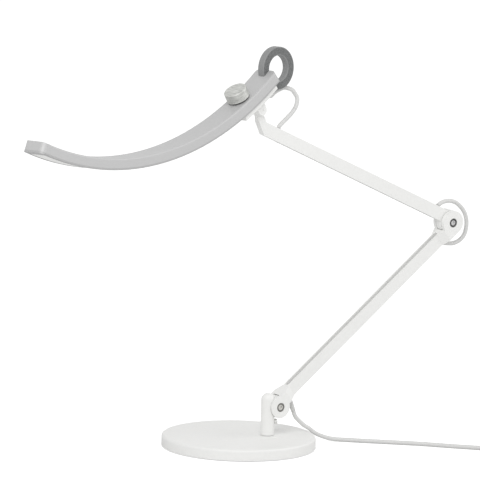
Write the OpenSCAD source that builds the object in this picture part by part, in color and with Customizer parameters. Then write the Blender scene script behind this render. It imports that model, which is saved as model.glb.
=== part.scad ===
// Folding desk lamp with a round weighted base, two slotted arms and a curved light bar.
// Frame: origin at the centre of the base's underside, Z up. The arms stand in a plane
// parallel to XZ, with every arm hinge along Y. The modelled pose is the rest pose.

/* [Base] */
// Diameter of the base disc
base_d = 210; // [190:1:240]
// Height of the base from the table to its top face
base_h = 16; // [15.5:0.5:20]
// Radius of the rounded top edge
base_edge_r = 3; // [1:0.5:4]
// Wall of the base cover
cover_wall = 2.5; // [2:0.25:3]
// Thickness of the foot pad
pad_h = 1.6; // [1:0.1:2]
// Thickness of the steel bottom plate
plate_h = 1.5; // [1:0.1:2]
// Radius on which the bottom screws stand
foot_screw_r = 78; // [60:1:85]
// Diameter of the bottom screws
foot_screw_d = 4; // [3:0.5:5]
// Number of bottom screws
foot_screws = 4; // [3:1:6]

/* [Post] */
// Position of the post along the arms, from the centre of the base
post_x = 33.1; // [20:0.1:45]
// Position of the post across the arms, from the centre of the base
post_y = -20; // [-30:0.1:0]
// Diameter of the post
post_d = 18.6; // [17:0.1:20]
// Height of the post's round top above the base
post_h = 59; // [58:0.5:62]
// Diameter of the spigot that the post stands on
spigot_d = 12; // [10:0.5:13]
// Diameter of the flush collar round the post
collar_d = 34; // [28:1:40]
// Height of the shadow groove under the post
groove_h = 1; // [0.6:0.1:1.4]
// Distance of the stop screw below the pivot
stop_drop = 21.2; // [20:0.1:24]
// Diameter of the bolt that holds the post
post_bolt_d = 6; // [5:0.5:7]

/* [Arms] */
// Height of the pivot above the base's top face
pivot_up = 39.4; // [38:0.1:41]
// Distance of the pivot in front of the post's axis
pivot_reach = 13.3; // [12:0.1:14]
// Height of both arm bars
bar_h = 17.5; // [16:0.5:19]
// Thickness of both arm bars
bar_t = 11; // [10:0.5:12]
// Length of the lower arm between its hinges, along the bar
lower_run = 364.6; // [300:1:420]
// Offset of the lower bar's middle from the pivot
lower_off = 3.5; // [2:0.5:5]
// Offset of the upper bar's middle from the elbow
upper_off = 4.2; // [3:0.1:5]
// Distance from the elbow to the bend of the upper arm
upper_run = 353.9; // [300:1:400]
// Angle of the lower arm above the table
lower_angle = 37.3; // [25:0.1:50]
// Angle between the two arms
fold_angle = 63.05; // [50:0.1:80]
// Radius of the round fork cheeks at the pivot
pivot_r = 15; // [14:0.5:16]
// Radius of the elbow barrel
elbow_r = 16.5; // [15.5:0.5:17]
// Overall length of the pivot and elbow barrels
barrel_l = 24; // [23:0.5:27]
// Thickness of a friction washer
washer_h = 0.8; // [0.6:0.1:1.2]
// Diameter of the friction washers
washer_d = 24; // [20:1:26]
// Diameter of the hinge screws
hinge_d = 6; // [5:0.5:7]
// Diameter of the hinge screw heads and nuts
hinge_head_d = 11.2; // [10.5:0.1:13]
// Height of the hinge screw heads and nuts
hinge_head_h = 2.6; // [2:0.1:3]
// Width of the long channel in both arms
slot_w = 6.4; // [6.4:0.1:6.8]
// Distance from the pivot to the lower channel
lower_slot_a = 30; // [29:1:60]
// Distance from the lower channel to the elbow
lower_slot_b = 24; // [22:1:40]
// Distance from the elbow to the upper channel
upper_slot_a = 31; // [28:1:40]
// Distance from the upper channel to the bend of the arm
upper_slot_b = 27; // [24:1:40]
// Highest lift of the lower arm above its rest, for which the post makes room
raise_max = 35; // [20:1:38]

/* [Neck and head joint] */
// Angle between the upper arm and its neck
neck_bend = 40.85; // [35:0.05:50]
// Length of the neck from the bend to its seam
neck_l = 20.15; // [18:0.05:24]
// Diameter of the neck at its seam
neck_d = 11.3; // [11:0.1:12]
// Distance from the neck's seam to the tilt axis
seam_drop = 9.05; // [8.8:0.05:10]
// Turn of the head about the neck
head_turn = 10; // [-30:0.5:30]
// Tilt of the head about the knuckle
head_tilt = 8.3; // [-10:0.1:20]
// Radius of the saddle's lugs
lug_r = 7.4; // [7.2:0.1:8.7]
// Thickness of a lug
lug_t = 5.5; // [4:0.5:6]
// Radius of the knuckle's eye
eye_r = 6.4; // [6:0.1:7]
// Diameter of the tilt pin
tilt_pin_d = 4; // [3:0.5:5]
// Diameter of the swivel shank
shank_d = 6; // [5:0.5:6]
// Length of the swivel shank in the neck
shank_l = 13; // [10:0.5:14]
// Length of the saddle along the head
saddle_l = 71; // [60:1:76]
// Width of the saddle
saddle_w = 33; // [30:1:34]
// Thickness of the saddle
saddle_h = 7.5; // [6:0.1:7.5]

/* [Head] */
// Radius of the head's upper face
head_r = 428; // [400:0.1:500]
// Width of the head
head_w = 38.6; // [38:0.1:44]
// Thickness of the head
head_h = 15.9; // [14:0.1:17]
// Thickness of the lower frame
frame_h = 3; // [2.5:0.1:3.5]
// Wall of the upper housing
head_wall = 2; // [1.5:0.1:2.5]
// Radius of the head's long edges
head_edge_r = 2.2; // [1:0.1:2.5]
// Radius of the head's corners seen from above
head_corner_r = 8; // [4:0.5:8.5]
// Distance from the lower face to the tilt axis
joint_drop = 15.6; // [15.6:0.1:17]
// Length of the head's top from the joint to the tip
tip_reach = 421; // [320:1:440]
// Length of the head's top from the joint to the ring end
end_reach = 44; // [43.6:0.1:45]
// Width of the diffuser's window
window_w = 30; // [26:0.5:31]
// Number of LEDs
leds = 30; // [20:1:36]

/* [Dial] */
// Diameter of the knob
knob_d = 32; // [28:1:34]
// Height of the knob
knob_h = 13.8; // [10:0.1:16]
// Gap under the knob
knob_gap = 2.6; // [2.5:0.1:3.5]
// Travel of the knob when it is pressed
knob_travel = 1; // [0.5:0.1:1.2]
// Distance from the joint to the dial, along the head's top
knob_reach = 19.4; // [17:0.1:23]
// Diameter of the dark skirt under the knob
skirt_d = 25; // [20:1:27]
// Diameter of the dial's stem
stem_d = 8; // [6.5:0.5:9]

/* [Grab ring] */
// Outer diameter of the ring
ring_od = 59; // [56:0.5:62]
// Inner diameter of the ring
ring_id = 35.5; // [34:0.5:38]
// Thickness of the ring
ring_t = 10.5; // [9:0.5:11.5]
// Distance from the joint to the ring's middle, along the head
ring_reach = 60.3; // [60:0.1:61]
// Height of the ring's middle above the head's lower face
ring_up = 5; // [4.5:0.1:5.5]
// Depth of the ring's face inlays
inlay_h = 0.8; // [0.5:0.1:1]

/* [Cable] */
// Diameter of the cable
cable_d = 5.8; // [5:0.1:6]
// Radius of the cable's bend inside the arms where the lead leaves
exit_bend_r = 10; // [9.6:0.1:12]
// Distance from the pivot to the place where the lead leaves the lower arm
exit_u = 23.3; // [22:0.1:26]
// Radius of the cable's loop round the elbow
loop_r = 30.7; // [29.5:0.1:33]
// Distance from the head cable's hole to the bend of the upper arm
neck_hole_u = 24.3; // [22:0.1:30]
// Radius of the cable's bend inside the upper arm where the head cable leaves
neck_bend_r = 10; // [9.6:0.1:12]
// Length of the lead's strain relief outside the arm
relief_l = 20; // [20:1:26]
// Diameter of the strain relief at the arm
relief_d = 7.2; // [7:0.1:7.6]
// Diameter of the wound part of the lead, at the middle of its turns
coil_d = 60; // [50:1:60]
// Width and height of the wound part
coil_t = 17.6; // [15:0.1:18]
// Length of the plug's body
plug_l = 42; // [36:1:50]
// Width of the plug's body
plug_w = 30; // [26:1:34]
// Height of the plug's body
plug_h = 26; // [22:1:30]

/* [Hidden] */
$fn = 96;

eps = 0.01;
// The head's corner cylinders are a touch larger than tangent, so that they cross its faces cleanly
corner_ease = 1.015;
// Running clearance of a shaft, on its diameter
run_fit = 0.1;
// Gap between parts that move past each other
gap = 0.4;
// Clearance of a screw through a plate, on its diameter
screw_fit = 0.4;

base_r = base_d / 2;
cover_z = base_h - cover_wall;
plate_z = pad_h;
weight_z = plate_z + plate_h + 0.3;
boss_h = 0.7;
weight_top = cover_z - boss_h;
weight_r = base_r - cover_wall - 6.5;
weight_web = 4.4;
web_z = weight_top - weight_web;
pocket_d = 24;
collar_h = 1.2;
collar_proud = 0.4;
collar_top = base_h + collar_proud;
post_z = collar_top + groove_h;
groove_d = post_d - 3;
bolt_head_d = 11;
washer_t = 1.2;
bolt_head_h = web_z - washer_t - weight_z - 0.2;

pivot_x = post_x + pivot_reach;
pivot_z = base_h + pivot_up;
tongue_t = bar_t;
cheek_in = tongue_t / 2 + washer_h;
cheek_out = barrel_l / 2;
elbow_off = elbow_r - bar_h / 2;
elbow_v = lower_off + elbow_off;
flare_l = 12;
flare_start = 18;
head_recess = hinge_head_h + 0.6;
hinge_socket_d = 5.4;
head_room = 0.65;

// Angle that a length along an arc spans, in degrees
function degrees(length, radius) = length / radius * 180 / PI;
joint_up = neck_l + seam_drop;
arc_c = head_r + head_h + joint_drop;
bottom_r = head_r + head_h;
split_r = bottom_r - frame_h;
roof_r = head_r + head_wall;
saddle_r = bottom_r + saddle_h;
saddle_arc = degrees(saddle_l / 2, saddle_r);
ring_r = bottom_r - ring_up;
ring_arc = degrees(ring_reach, ring_r);
knob_arc = degrees(knob_reach, head_r);
tip_arc = degrees(tip_reach, head_r);
end_arc = degrees(end_reach, head_r);
cavity_end = ring_arc - degrees(ring_od / 2 + 8, ring_r);
cavity_tip = tip_arc - degrees(7.5, head_r);
window_tip = tip_arc - degrees(10.5, head_r);
window_end = degrees(69, head_r);

duct_d = cable_d + 0.8;
exit_turn = 75;
tie_t = 0.8;
plug_pin_d = 4;
plug_pin_l = 19;
tilt_in = tongue_t / 2 + washer_h;

// Colours
white = [0.93, 0.93, 0.91];
silver = [0.78, 0.78, 0.77];
steel = [0.62, 0.62, 0.62];
dark = [0.12, 0.12, 0.13];
cord = [0.82, 0.82, 0.81];

// ---- placing ----

// Middle of the lower hinge; X along the lower bar, Z towards the inside of the fold
module lower_place() {
    translate([pivot_x, post_y, pivot_z]) rotate([0, -lower_angle, 0]) children();
}

// Middle of the elbow; X along the upper bar, Z towards the inside of the fold
module upper_place() {
    lower_place() translate([lower_run, 0, elbow_v]) rotate([0, fold_angle - 180, 0]) children();
}

// Bend of the upper arm; Z along the neck
module neck_place() {
    upper_place() translate([upper_run, 0, -upper_off]) rotate([0, 90 + neck_bend, 0]) children();
}

// Tilt axis; Z along the neck, Y along the tilt pin
module knuckle_place() {
    neck_place() translate([0, 0, joint_up]) rotate([0, 0, head_turn]) children();
}

// Tilt axis; X along the head, Z square to its faces
module head_place() {
    knuckle_place() rotate([0, -head_tilt, 0]) children();
}

// A place on the head's arc; Z points to the arc's centre, which is the origin
module on_arc(a) {
    translate([0, 0, arc_c]) rotate([0, -a, 0]) children();
}

// ---- shared shapes ----

// Sweeps a profile along the head, from angle a0 to a1; the profile's X is the radius
module head_sweep(a0, a1) {
    translate([0, 0, arc_c]) rotate([90, 0, 0]) rotate([0, 0, a0 - 90])
        rotate_extrude(angle = a1 - a0, $fn = 360) children();
}

module strip(r0, r1, w) {
    translate([r0, -w / 2]) square([r1 - r0, w]);
}

module round_strip(r0, r1, w, r) {
    translate([r0 + r, -w / 2]) square([r1 - r0 - 2 * r, w]);
    translate([r0, r - w / 2]) square([r1 - r0, w - 2 * r]);
    for (x = [r0 + r, r1 - r], y = [-w / 2 + r, w / 2 - r]) translate([x, y]) circle(r);
}

// Cutter that rounds both corners of the head's end at angle a; the body lies towards side
module round_corners(a, side, w, r, low, high) {
    for (s = [-1, 1])
        on_arc(a) translate([0, s * w / 2, -high])
            rotate([0, 0, side > 0 ? (s < 0 ? 0 : -90) : (s < 0 ? 90 : 180)])
                linear_extrude(high - low) difference() {
                    translate([-1, -1]) square([r + 1, r + 1]);
                    translate([r, r]) circle(r * corner_ease);
                }
}

// A pin along Y, centred
module across(r, l) {
    rotate([90, 0, 0]) cylinder(r = r, h = l, center = true);
}

// A pin along Y from y0 to y1
module along_y(r, y0, y1) {
    translate([0, y1, 0]) rotate([90, 0, 0]) cylinder(r = r, h = y1 - y0);
}

// Hexagon prism along Y from y0 to y1, af across its corners
module hex_y(d, y0, y1) {
    translate([0, y1, 0]) rotate([90, 0, 0]) cylinder(d = d, h = y1 - y0, $fn = 6);
}

// Slot with round ends through a bar, in the bar's own frame
module long_slot(u0, u1, w, z0, z1) {
    translate([u0 + w / 2, -w / 2, z0]) cube([u1 - u0 - w, w, z1 - z0]);
    for (u = [u0 + w / 2, u1 - w / 2]) translate([u, 0, z0]) cylinder(d = w, h = z1 - z0, $fn = 32);
}

// ---- cable tubes ----

function unit(v) = v / norm(v);
function spline_at(a, b, c, d, t) =
    0.5 * (2 * b + (c - a) * t + (2 * a - 5 * b + 4 * c - d) * t * t + (3 * b - a - 3 * c + d) * t * t * t);
function spline(p, n) = [
    for (i = [0 : len(p) - 2], k = [0 : n - 1])
        spline_at(p[max(i - 1, 0)], p[i], p[i + 1], p[min(i + 2, len(p) - 1)], k / n),
    p[len(p) - 1]
];
function heading(p, i) = unit(p[min(i + 1, len(p) - 1)] - p[max(i - 1, 0)]);

// Points of a bend that starts at (x, z) along +X and turns by a towards -Z; its end is straight
function bend_out(x, z, r, a) = concat(
    [for (t = [0 : 0.2 : 0.8]) [x + r * sin(t * a), 0, z + r * (cos(t * a) - 1)]],
    [for (k = [0.3, 0]) [x + r * sin(a) - k * cos(a), 0, z + r * (cos(a) - 1) + k * sin(a)]]
);
// The same bend towards -X, in the opposite order
function bend_back(x, z, r, a) = let (p = bend_out(0, z, r, a)) [for (i = [len(p) - 1 : -1 : 0]) [x - p[i][0], 0, p[i][2]]];

// Round tube along points p; ref is never parallel to the path
module tube(p, d, sides, ref) {
    pts = [
        for (i = [0 : len(p) - 1])
            let (t = heading(p, i), n = unit(cross(t, ref)), b = cross(t, n))
                for (k = [0 : sides - 1])
                    p[i] + (n * cos(360 * k / sides) + b * sin(360 * k / sides)) * d / 2
    ];
    walls = [
        for (i = [0 : len(p) - 2], k = [0 : sides - 1])
            let (a = i * sides + k, b = i * sides + (k + 1) % sides)
                [a, b, b + sides, a + sides]
    ];
    last = (len(p) - 1) * sides;
    ends = [[for (k = [sides - 1 : -1 : 0]) k], [for (k = [0 : sides - 1]) last + k]];
    polyhedron(points = pts, faces = concat(walls, ends), convexity = 6);
}

// ---- base ----

module foot_screw_places() {
    for (i = [0 : foot_screws - 1]) rotate([0, 0, 45 + i * 360 / foot_screws]) translate([foot_screw_r, 0, 0]) children();
}

module post_place() {
    translate([post_x, post_y, 0]) children();
}

module base_cover() {
    color(white) difference() {
        union() {
            difference() {
                rotate_extrude($fn = 180) {
                    square([base_r - base_edge_r, base_h]);
                    square([base_r, base_h - base_edge_r]);
                    translate([base_r - base_edge_r, base_h - base_edge_r]) circle(base_edge_r);
                }
                translate([0, 0, -eps]) cylinder(r = base_r - cover_wall, h = cover_z + eps, $fn = 180);
                translate([0, 0, -1]) cylinder(r = base_r + 1, h = 2.2, $fn = 180);
            }
            foot_screw_places() translate([0, 0, plate_z + plate_h]) cylinder(d = 10, h = cover_z - plate_z - plate_h + eps);
            post_place() translate([0, 0, weight_top]) cylinder(d = collar_d, h = boss_h + eps);
        }
        foot_screw_places() translate([0, 0, plate_z]) cylinder(d = foot_screw_d, h = cover_z - plate_z - 1);
        post_place() translate([0, 0, weight_top - eps]) cylinder(d = spigot_d + run_fit, h = base_h);
        post_place() translate([0, 0, collar_top - collar_h]) cylinder(d = collar_d, h = base_h);
    }
}

module base_weight() {
    color(steel) difference() {
        translate([0, 0, weight_z]) cylinder(r = weight_r, h = weight_top - weight_z, $fn = 180);
        foot_screw_places() translate([0, 0, 0]) cylinder(d = 11, h = base_h);
        post_place() cylinder(d = spigot_d + run_fit, h = base_h);
        post_place() cylinder(d = pocket_d, h = web_z);
    }
}

module base_plate() {
    color(steel) difference() {
        translate([0, 0, plate_z]) cylinder(r = base_r - cover_wall - 0.5, h = plate_h, $fn = 180);
        foot_screw_places() cylinder(d = foot_screw_d + screw_fit, h = base_h);
        foot_screw_places() translate([0, 0, plate_z]) cylinder(r1 = foot_screw_d / 2 + 1.7, r2 = foot_screw_d / 2 + 0.2, h = plate_h);
    }
}

module foot_pad() {
    color(dark) cylinder(r = base_r - cover_wall - 3.5, h = pad_h, $fn = 180);
}

module base_screws() {
    color(steel) foot_screw_places() {
        translate([0, 0, plate_z]) cylinder(r1 = foot_screw_d / 2 + 1.5, r2 = foot_screw_d / 2, h = plate_h);
        translate([0, 0, plate_z]) cylinder(d = foot_screw_d, h = cover_z - plate_z - 2);
    }
}

module post_collar() {
    color(white) post_place() difference() {
        translate([0, 0, collar_top - collar_h]) rotate_extrude() {
            square([collar_d / 2 - 0.4, collar_h]);
            square([collar_d / 2, collar_h - 0.4]);
            translate([collar_d / 2 - 0.4, collar_h - 0.4]) circle(0.4, $fn = 32);
        }
        cylinder(d = spigot_d + run_fit, h = base_h + 5);
    }
}

// ---- post ----

module post() {
    dome_z = base_h + post_h - post_d / 2;
    color(white) difference() {
        union() {
            difference() {
                post_place() union() {
                    translate([0, 0, post_z]) cylinder(d = post_d, h = dome_z - post_z);
                    translate([0, 0, dome_z]) sphere(d = post_d);
                }
                for (s = [-1, 1])
                    translate([pivot_x, post_y + s * (tongue_t / 2 + post_d / 2), pivot_z])
                        across(pivot_r + gap, post_d);
                lower_place() rotate([0, -raise_max, 0]) difference() {
                    translate([0, -post_d, -bar_h]) cube([3 * post_d, 2 * post_d, bar_h + lower_off + bar_h / 2 + gap]);
                    across(pivot_r, 3 * post_d);
                }
            }
            translate([pivot_x, post_y, pivot_z]) across(pivot_r, tongue_t);
            post_place() translate([0, 0, collar_top]) cylinder(d = groove_d, h = groove_h + eps);
            post_place() translate([0, 0, web_z + 0.3]) cylinder(d = spigot_d, h = post_z - web_z);
        }
        translate([pivot_x, post_y, pivot_z]) across(hinge_d / 2 + run_fit / 2, 2 * tongue_t);
        post_place() cylinder(d = post_bolt_d, h = web_z + 20.5);
        translate([post_x + 3, post_y, pivot_z - stop_drop]) rotate([0, 90, 0]) cylinder(d = 4, h = post_d);
    }
}

module post_bolt() {
    color(steel) post_place() {
        translate([0, 0, web_z - washer_t]) mirror([0, 0, 1]) cylinder(d = bolt_head_d, h = bolt_head_h, $fn = 6);
        translate([0, 0, web_z - washer_t - eps]) cylinder(d = post_bolt_d, h = 20);
    }
}

module post_washer() {
    color(steel) post_place() difference() {
        translate([0, 0, web_z - washer_t]) cylinder(d = pocket_d - 4, h = washer_t);
        cylinder(d = post_bolt_d + screw_fit, h = base_h);
    }
}

module stop_screw() {
    color(steel) translate([post_x, post_y, pivot_z - stop_drop]) rotate([0, 90, 0]) difference() {
        union() {
            translate([0, 0, post_d / 2 - 0.4]) cylinder(d = 7.5, h = 5.4);
            translate([0, 0, 3.5]) cylinder(d = 4, h = post_d / 2 - 3.5);
        }
        difference() {
            translate([0, 0, post_d / 2 - 1]) cylinder(d = 8, h = 1);
            cylinder(d = 4, h = post_d);
        }
        translate([0, 0, post_d / 2 + 3]) cylinder(d = 4, h = 5, $fn = 6);
    }
}

// ---- hinges ----

module hinge_screw() {
    color(steel) difference() {
        union() {
            along_y(hinge_head_d / 2, head_recess - barrel_l / 2 - hinge_head_h, head_recess - barrel_l / 2);
            along_y(hinge_d / 2, head_recess - barrel_l / 2 - eps, barrel_l / 2 - head_recess + hinge_head_h);
        }
        hex_y(hinge_socket_d, -barrel_l, head_recess - barrel_l / 2 - 0.8);
    }
}

module hinge_nut() {
    color(steel) difference() {
        hex_y(hinge_head_d, barrel_l / 2 - head_recess, barrel_l / 2 - head_recess + hinge_head_h);
        across(hinge_d / 2, 2 * barrel_l);
    }
}

module hinge_washers() {
    color(steel) for (s = [-1, 1])
        translate([0, s * (tongue_t / 2 + washer_h / 2), 0]) difference() {
            across(washer_d / 2, washer_h - run_fit);
            across(hinge_d / 2 + screw_fit / 2, 2 * washer_h);
        }
}

// Everything that is taken out of a fork for its screw, washers and tongue
module fork_cuts(eye) {
    across(eye + 1, 2 * cheek_in);
    across(hinge_d / 2 + run_fit / 2, 2 * barrel_l);
    for (s = [-1, 1])
        translate([0, s * barrel_l / 2, 0]) across(hinge_head_d / 2 + head_room, 2 * head_recess);
}

module elbow_in_lower() {
    translate([lower_run, 0, elbow_v]) children();
}

module pivot_screw() {
    lower_place() hinge_screw();
}

module pivot_nut() {
    lower_place() hinge_nut();
}

module pivot_washers() {
    lower_place() hinge_washers();
}

module elbow_screw() {
    upper_place() hinge_screw();
}

module elbow_nut() {
    upper_place() hinge_nut();
}

module elbow_washers() {
    upper_place() hinge_washers();
}

// ---- lower arm ----

exit_drop = exit_bend_r * (1 - cos(exit_turn));
exit_rest = (bar_h / 2 - exit_drop) / sin(exit_turn);
exit_start = exit_u + exit_bend_r * sin(exit_turn) + exit_rest * cos(exit_turn);
lower_turn = acos(elbow_r / loop_r);
lower_bend_r = bar_h / 2 / (1 - cos(lower_turn));
lower_cross = sqrt(loop_r * loop_r - elbow_r * elbow_r);
lower_bend_u = lower_run - lower_cross - lower_bend_r * sin(lower_turn);
upper_face = upper_off + bar_h / 2;
upper_turn = acos(upper_face / loop_r);
upper_bend_r = bar_h / 2 / (1 - cos(upper_turn));
upper_cross = sqrt(loop_r * loop_r - upper_face * upper_face);
upper_bend_u = upper_cross + upper_bend_r * sin(upper_turn);
neck_hole = upper_run - neck_hole_u;
neck_turn = acos(1 - bar_h / 2 / neck_bend_r);
neck_bend_u = neck_hole - neck_bend_r * sin(neck_turn);

// Opening through which a cable bends from the bar's middle, along +X, out of its outer face
module bend_opening(r, a) {
    w = slot_w / 2;
    x = r * sin(a);
    z = r * (cos(a) - 1);
    rotate([90, 0, 0]) linear_extrude(slot_w, center = true) polygon([
        [-1, w], [(r + w) * tan(a / 2), w],
        [x + w * sin(a), z + w * cos(a)], [x + w * sin(a) + 8 * cos(a), z + w * cos(a) - 8 * sin(a)],
        [x - w * sin(a) + 8 * cos(a), z - w * cos(a) - 8 * sin(a)], [x - w * sin(a), z - w * cos(a)],
        [0, -w], [-1, -w]
    ]);
}

module fork_plan(u0, u1) {
    polygon([
        [0, -barrel_l / 2], [u0, -barrel_l / 2], [u1, -bar_t / 2],
        [u1, bar_t / 2], [u0, barrel_l / 2], [0, barrel_l / 2]
    ]);
}

// Fork end of a bar; the bar lies towards +X
module fork_end(eye, low) {
    across(eye, barrel_l);
    translate([0, 0, low]) linear_extrude(bar_h) fork_plan(flare_start, flare_start + flare_l);
}

module lower_arm() {
    low = lower_off - bar_h / 2;
    color(white) lower_place() difference() {
        union() {
            translate([flare_start, -bar_t / 2, low]) cube([lower_run - 2 * flare_start, bar_t, bar_h]);
            fork_end(pivot_r, low);
            elbow_in_lower() mirror([1, 0, 0]) fork_end(elbow_r, -elbow_r);
        }
        fork_cuts(pivot_r);
        elbow_in_lower() fork_cuts(elbow_r);
        long_slot(lower_slot_a, lower_run - lower_slot_b, slot_w, lower_off - slot_w / 2, lower_off + bar_h);
        translate([exit_start, 0, lower_off]) mirror([1, 0, 0]) bend_opening(exit_bend_r, exit_turn);
        translate([lower_bend_u, 0, lower_off]) bend_opening(lower_bend_r, lower_turn);
        translate([exit_start, 0, lower_off]) mirror([1, 0, 0])
            translate([exit_bend_r * sin(exit_turn), 0, -exit_drop]) rotate([0, 90 + exit_turn, 0])
                cylinder(d = relief_d + run_fit, h = 12, $fn = 32);
    }
}

module lower_cable() {
    color(cord) lower_place() tube(concat(
        bend_back(exit_start, lower_off, exit_bend_r, exit_turn),
        bend_out(lower_bend_u, lower_off, lower_bend_r, lower_turn)
    ), cable_d, 12, [0, 1, 0]);
}

module lead_relief() {
    color(cord) lower_place() translate([exit_start, 0, lower_off]) mirror([1, 0, 0])
        translate([exit_bend_r * sin(exit_turn), 0, -exit_drop]) rotate([0, 90 + exit_turn, 0]) {
            cylinder(d = relief_d, h = exit_rest + 2, $fn = 32);
            translate([0, 0, exit_rest + 2 - eps]) cylinder(d1 = relief_d, d2 = cable_d + 0.4, h = relief_l - 2, $fn = 32);
        }
}

module elbow_cable() {
    a0 = -180 + asin(elbow_r / loop_r);
    a1 = 180 - fold_angle - asin(upper_face / loop_r);
    color(cord) lower_place() elbow_in_lower() rotate([90, 0, 0]) rotate([0, 0, a0])
        rotate_extrude(angle = a1 - a0) translate([loop_r, 0]) circle(d = cable_d, $fn = 32);
}

// ---- upper arm ----

// Corners of the bar's end, before and behind the bend
neck_outer = 3.2;
neck_inner = 2.1;
sleeve_d = shank_d + 2;
groove_w = 3.4;
groove_up = neck_l - 8;

module neck_solid() {
    half = bar_h / 2;
    c = cos(neck_bend);
    s = sin(neck_bend);
    r = neck_d / 2;
    below = bar_h;
    intersection() {
        upper_place() translate([upper_run, 0, -upper_off]) rotate([90, 0, 0]) linear_extrude(bar_t, center = true)
            polygon([
                [-neck_inner - 1, -half], [neck_outer, -half],
                [neck_l * c - r * s, -neck_l * s - r * c],
                [neck_l * c + r * s, -neck_l * s + r * c],
                [-neck_inner, half], [-neck_inner - 1, half]
            ]);
        neck_place() translate([0, 0, -below]) cylinder(r1 = r + 0.31 * (neck_l + below), r2 = r, h = neck_l + below);
    }
}

module upper_arm() {
    low = -upper_off - bar_h / 2;
    color(white) difference() {
        union() {
            upper_place() translate([0, -bar_t / 2, low]) cube([upper_run - neck_inner, bar_t, bar_h]);
            upper_place() across(elbow_r, tongue_t);
            neck_solid();
        }
        upper_place() across(hinge_d / 2 + run_fit / 2, 2 * barrel_l);
        upper_place() long_slot(upper_slot_a, upper_run - upper_slot_b, slot_w, -upper_off - slot_w / 2, bar_h);
        upper_place() translate([upper_bend_u, 0, -upper_off]) mirror([1, 0, 0]) bend_opening(upper_bend_r, upper_turn);
        upper_place() translate([neck_bend_u, 0, -upper_off]) bend_opening(neck_bend_r, neck_turn);
        neck_place() translate([0, 0, neck_l - shank_l - 0.5]) cylinder(d = sleeve_d, h = neck_l);
        neck_place() translate([0, 0, groove_up]) along_y(1.5, 0, neck_d);
    }
}

module upper_cable() {
    color(cord) upper_place() tube(concat(
        bend_back(upper_bend_u, -upper_off, upper_bend_r, upper_turn),
        bend_out(neck_bend_u, -upper_off, neck_bend_r, neck_turn)
    ), cable_d, 12, [0, 1, 0]);
}

module swivel_sleeve() {
    color(steel) neck_place() difference() {
        translate([0, 0, neck_l - shank_l - 0.5]) cylinder(d = sleeve_d, h = shank_l + 0.5);
        translate([0, 0, neck_l - shank_l - 1]) cylinder(d = shank_d + run_fit, h = shank_l + 2);
        translate([0, 0, groove_up]) along_y(1.5, 0, neck_d);
    }
}

module neck_grub_screw() {
    color(steel) neck_place() translate([0, 0, groove_up]) difference() {
        along_y(1.5, shank_d / 2 - 0.6, neck_d / 2 - 0.4);
        hex_y(1.8, neck_d / 2 - 1.8, neck_d);
    }
}

// ---- head joint ----

module tilt_knuckle() {
    color(white) knuckle_place() difference() {
        union() {
            across(eye_r, tongue_t);
            intersection() {
                translate([0, 0, run_fit - seam_drop]) cylinder(d = neck_d, h = seam_drop);
                translate([-neck_d, -tongue_t / 2, -seam_drop]) cube([2 * neck_d, tongue_t, seam_drop]);
            }
            translate([0, 0, -seam_drop - shank_l]) cylinder(d = shank_d, h = shank_l + 1);
        }
        across(tilt_pin_d / 2 + run_fit / 2, 2 * barrel_l);
        translate([0, 0, groove_up - joint_up - groove_w / 2]) difference() {
            cylinder(d = shank_d + 2, h = groove_w);
            cylinder(d = shank_d - 1.6, h = groove_w);
        }
    }
}

module tilt_pin() {
    color(steel) head_place() across(tilt_pin_d / 2, 2 * (tilt_in + lug_t) - 0.6);
}

module tilt_washers() {
    color(steel) head_place() for (s = [-1, 1])
        translate([0, s * (tongue_t / 2 + washer_h / 2), 0]) difference() {
            across(eye_r - 0.4, washer_h - run_fit);
            across(tilt_pin_d / 2 + screw_fit / 2, 2 * washer_h);
        }
}

// Places of the saddle's screws, Z pointing to the head's top
module saddle_screw_places() {
    for (a = [-0.78, 0.4], s = [-1, 1])
        on_arc(a * saddle_arc) translate([0, s * (saddle_w / 2 - 4.5), -split_r]) children();
}

module saddle_profile() {
    strip(bottom_r, saddle_r - 2, saddle_w);
    strip(bottom_r, saddle_r, saddle_w - 4);
    for (s = [-1, 1]) translate([saddle_r - 2, s * (saddle_w / 2 - 2)]) circle(2);
}

cable_in_x = 19;
cable_in_turn = 60;

// Cable's way through the saddle; Z points down and out of the head
module cable_way() {
    translate([cable_in_x, 0, joint_drop]) rotate([0, 90 + cable_in_turn, 0]) children();
}

module head_saddle() {
    color(white) head_place() difference() {
        union() {
            head_sweep(-saddle_arc, saddle_arc) saddle_profile();
            for (s = [-1, 1]) translate([0, s * (tilt_in + lug_t / 2), 0]) {
                across(lug_r, lug_t);
                translate([-lug_r, -lug_t / 2, 0]) cube([2 * lug_r, lug_t, joint_drop - saddle_h + 2]);
            }
        }
        across(tilt_pin_d / 2 + run_fit / 2, 2 * barrel_l);
        ring_notch();
        saddle_screw_places() translate([0, 0, -frame_h - 5]) cylinder(d = 3, h = 8);
        cable_way() translate([0, 0, -bar_h]) cylinder(d = duct_d, h = 3 * bar_h, $fn = 32);
    }
}

module saddle_screws() {
    color(steel) head_place() saddle_screw_places() difference() {
        union() {
            cylinder(d = 5.5, h = 1.4);
            translate([0, 0, -frame_h - 4.5]) cylinder(d = 3, h = frame_h + 4.5 + eps);
        }
        translate([0, 0, 0.5]) cylinder(d = 2.8, h = 2, $fn = 6);
    }
}

// ---- head ----

module housing_profile() {
    strip(head_r + head_edge_r, split_r, head_w);
    strip(head_r, split_r, head_w - 2 * head_edge_r);
    for (s = [-1, 1]) translate([head_r + head_edge_r, s * (head_w / 2 - head_edge_r)]) circle(head_edge_r);
}

module frame_profile() {
    strip(split_r, bottom_r - 1.4, head_w);
    strip(split_r, bottom_r, head_w - 2.8);
    for (s = [-1, 1]) translate([bottom_r - 1.4, s * (head_w / 2 - 1.4)]) circle(1.4);
}

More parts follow.
